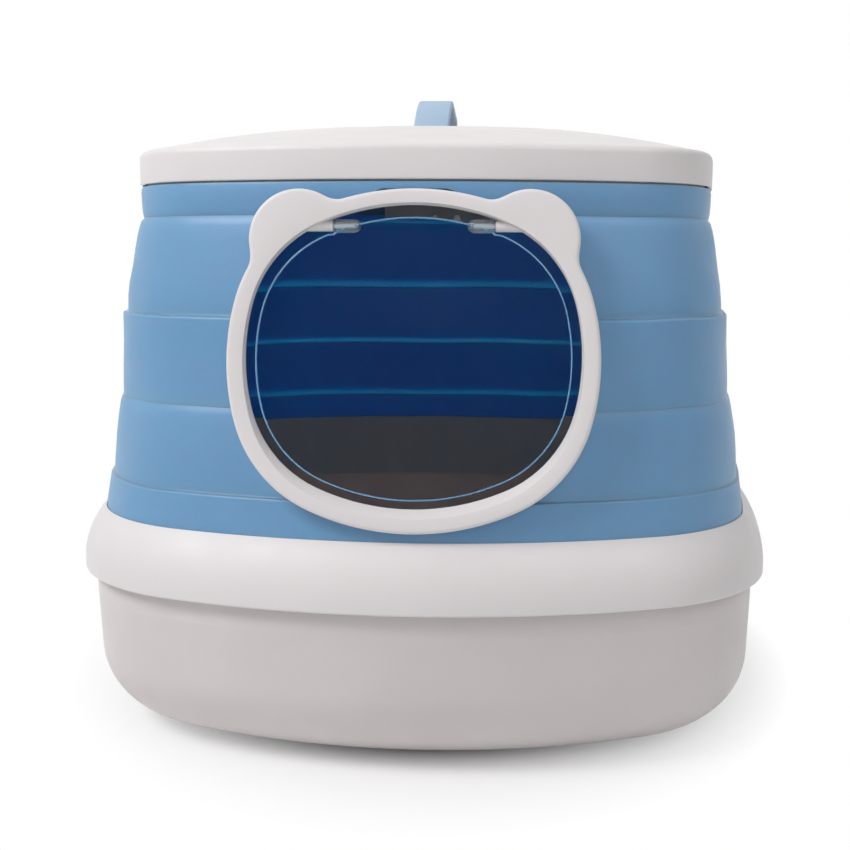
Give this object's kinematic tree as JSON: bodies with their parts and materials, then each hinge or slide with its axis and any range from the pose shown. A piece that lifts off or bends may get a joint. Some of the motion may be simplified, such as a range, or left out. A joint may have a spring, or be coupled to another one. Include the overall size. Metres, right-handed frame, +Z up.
{
  "type": "foldable litter box",
  "caption": "Enclosed oval litter box: deep pan, lift-off hood with a folding soft wall, hinged domed lid with strap handle, and a clear swinging flap in an eared oval door frame.",
  "frame": {"origin": "centre of the pan's footprint, on the floor", "axes": "+Z up, -Y towards the door, +X to the right when facing the door"},
  "size_m": [0.3998, 0.4998, 0.3483],
  "materials": {
    "white_plastic": "satin moulded plastic",
    "pan_plastic": "satin moulded plastic",
    "blue_wall": "satin soft plastic",
    "blue_strap": "satin soft plastic",
    "clear_flap": "clear polished plastic",
    "steel": "plain steel"
  },
  "bodies": {
    "pan": {"litter_pan": "pan_plastic"},
    "hood": {"base_collar": "white_plastic", "wall_clamp_ring": "white_plastic", "wall_band_bottom": "blue_wall", "fold_band_lower": "blue_wall"},
    "mid": {"wall_band_middle": "blue_wall", "fold_band_upper": "blue_wall"},
    "top": {"wall_band_top": "blue_wall", "top_ring": "white_plastic", "lid_hinge_leaf": "white_plastic", "lid_hinge_bracket": "white_plastic", "lid_hinge_pin": "steel", "hinge_screws": "steel"},
    "lid": {"lid": "white_plastic", "carry_handle": "blue_strap", "handle_retainers": "white_plastic"},
    "door": {"door_frame": "white_plastic", "flap_hinge_pins": "steel"},
    "flap": {"door_flap": "clear_flap"}
  },
  "joints": [
    {"name": "hood_lift", "type": "slide", "parent": "pan", "child": "hood", "axis": [0, 0, 1], "range_m": [0, 0.2]},
    {"name": "wall_fold", "type": "slide", "parent": "hood", "child": "mid", "axis": [0, 0, 1], "range_m": [-0.08, 0], "deforming": ["fold_band_lower"]},
    {"name": "top_fold", "type": "slide", "parent": "mid", "child": "top", "axis": [0, 0, 1], "range_m": [-0.06, 0], "deforming": ["fold_band_upper"]},
    {"name": "lid_open", "type": "hinge", "parent": "top", "child": "lid", "pos_m": [0, 0.2182, 0.2885], "axis": [-1, 0, 0], "range_deg": [0, 100]},
    {"name": "door_release", "type": "slide", "parent": "hood", "child": "door", "axis": [0, -0.9912, 0.1322], "range_m": [0, 0.24]},
    {"name": "flap_swing", "type": "hinge", "parent": "door", "child": "flap", "pos_m": [0, -0.21869, 0.26955], "axis": [1, 0, 0], "range_deg": [-80, 80]}
  ],
  "couplings": [
    {"joint": "top_fold", "follows": "wall_fold", "ratio": 0.75},
    {"joint": "door_release", "follows": "wall_fold", "ratio": -3}
  ]
}
